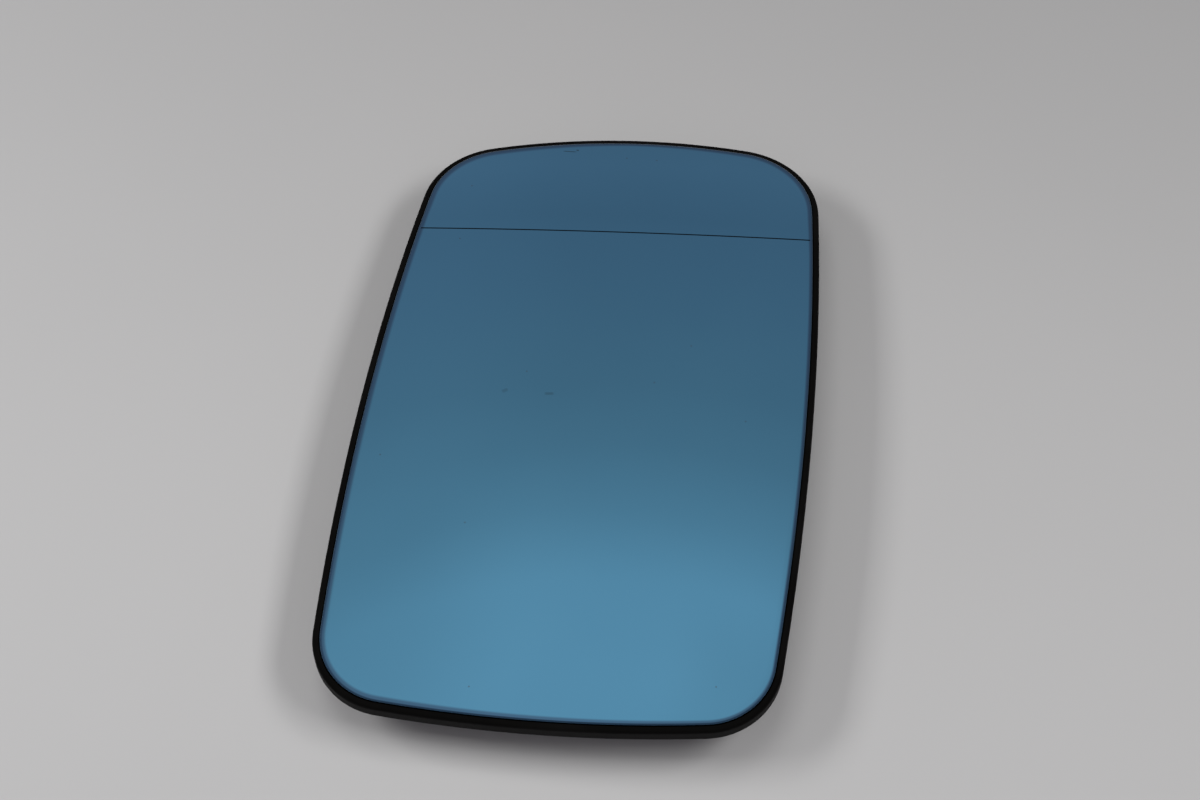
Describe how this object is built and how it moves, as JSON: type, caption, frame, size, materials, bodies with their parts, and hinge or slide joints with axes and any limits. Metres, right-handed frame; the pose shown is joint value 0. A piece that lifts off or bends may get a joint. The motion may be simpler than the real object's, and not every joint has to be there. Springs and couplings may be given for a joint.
{
  "type": "car door mirror glass",
  "caption": "Convex door mirror glass with a thin dividing line near its outer end, set in a black backing plate that clips to its adjuster, with a heater pad behind the pane.",
  "frame": {"origin": "on the snap collar's axis, in the plane of the collar's mouth, on which the part rests face up", "axes": "+Z out of the mirror's face, +Y along the pane to its outer end with the dividing line, +X across the pane"},
  "size_m": [0.1058, 0.1682, 0.017],
  "materials": {
    "mirror_coating": "polished, blue tinted, with a ground edge",
    "heater_film": "thin film with printed tracks",
    "black_plastic": "fine moulded grain",
    "tinned_brass": "tinned, stamped"
  },
  "bodies": {
    "root": {"mirror_glass": "mirror_coating", "heater_pad": "heater_film", "backing_plate": "black_plastic", "terminal_left": "tinned_brass", "terminal_right": "tinned_brass", "terminal_rivets": "tinned_brass"}
  },
  "joints": []
}
